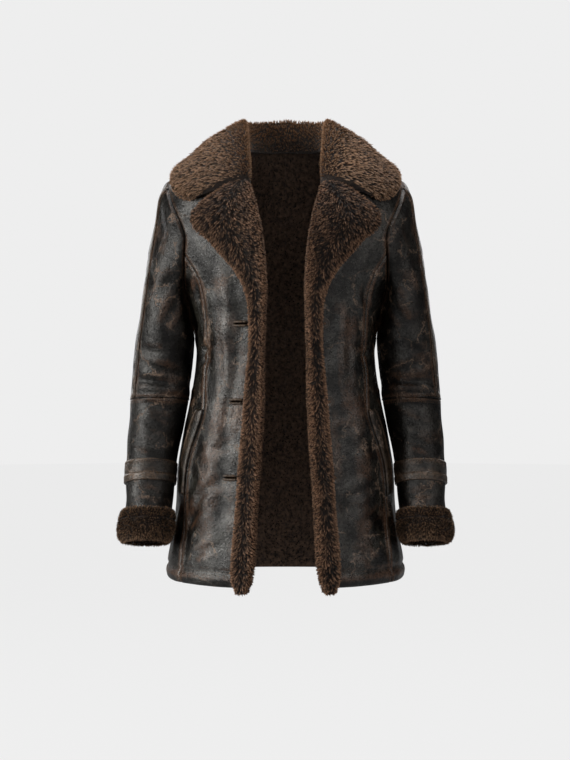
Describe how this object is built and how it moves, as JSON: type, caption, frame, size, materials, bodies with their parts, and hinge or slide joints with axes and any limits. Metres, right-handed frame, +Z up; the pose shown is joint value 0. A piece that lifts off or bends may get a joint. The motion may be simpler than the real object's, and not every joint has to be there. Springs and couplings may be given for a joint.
{
  "type": "shearling coat",
  "caption": "Hip-length fitted leather shearling coat, worn open, with turned-back wool lapels, front edges, collar and cuffs.",
  "frame": {"origin": "between the shoulders at the height of the neckline, where the wearer holds the coat up", "axes": "+Z up, -Y the coat's front, +X towards the wearer's left"},
  "size_m": [0.572, 0.286, 0.8104],
  "materials": {
    "leather": "distressed very dark brown sheepskin, waxed, rubbed paler along the seams",
    "leather_trim": "the same skin in narrow strips, more rubbed and browner",
    "wool": "dense sheared wool pile, mid brown with paler tips",
    "horn": "dark horn-like buttons with a soft polish"
  },
  "bodies": {
    "root": {"front_left": "leather", "front_right": "leather", "side_front_left": "leather", "side_front_right": "leather", "back_left": "leather", "back_right": "leather", "facing_left": "wool", "facing_right": "wool", "sleeve_front_left": "leather", "sleeve_front_right": "leather", "sleeve_back_left": "leather", "sleeve_back_right": "leather", "forearm_left": "leather", "forearm_right": "leather", "cuff_strap_left": "leather_trim", "cuff_strap_right": "leather_trim", "wool_cuff_left": "wool", "wool_cuff_right": "wool", "pocket_welt_left": "leather_trim", "pocket_welt_right": "leather_trim", "overarm_strip_left": "leather_trim", "overarm_strip_right": "leather_trim", "collar": "wool", "buttonhole_1": "leather_trim", "buttonhole_2": "leather_trim", "buttonhole_3": "leather_trim", "button_1": "horn", "button_2": "horn", "button_3": "horn"}
  },
  "joints": []
}
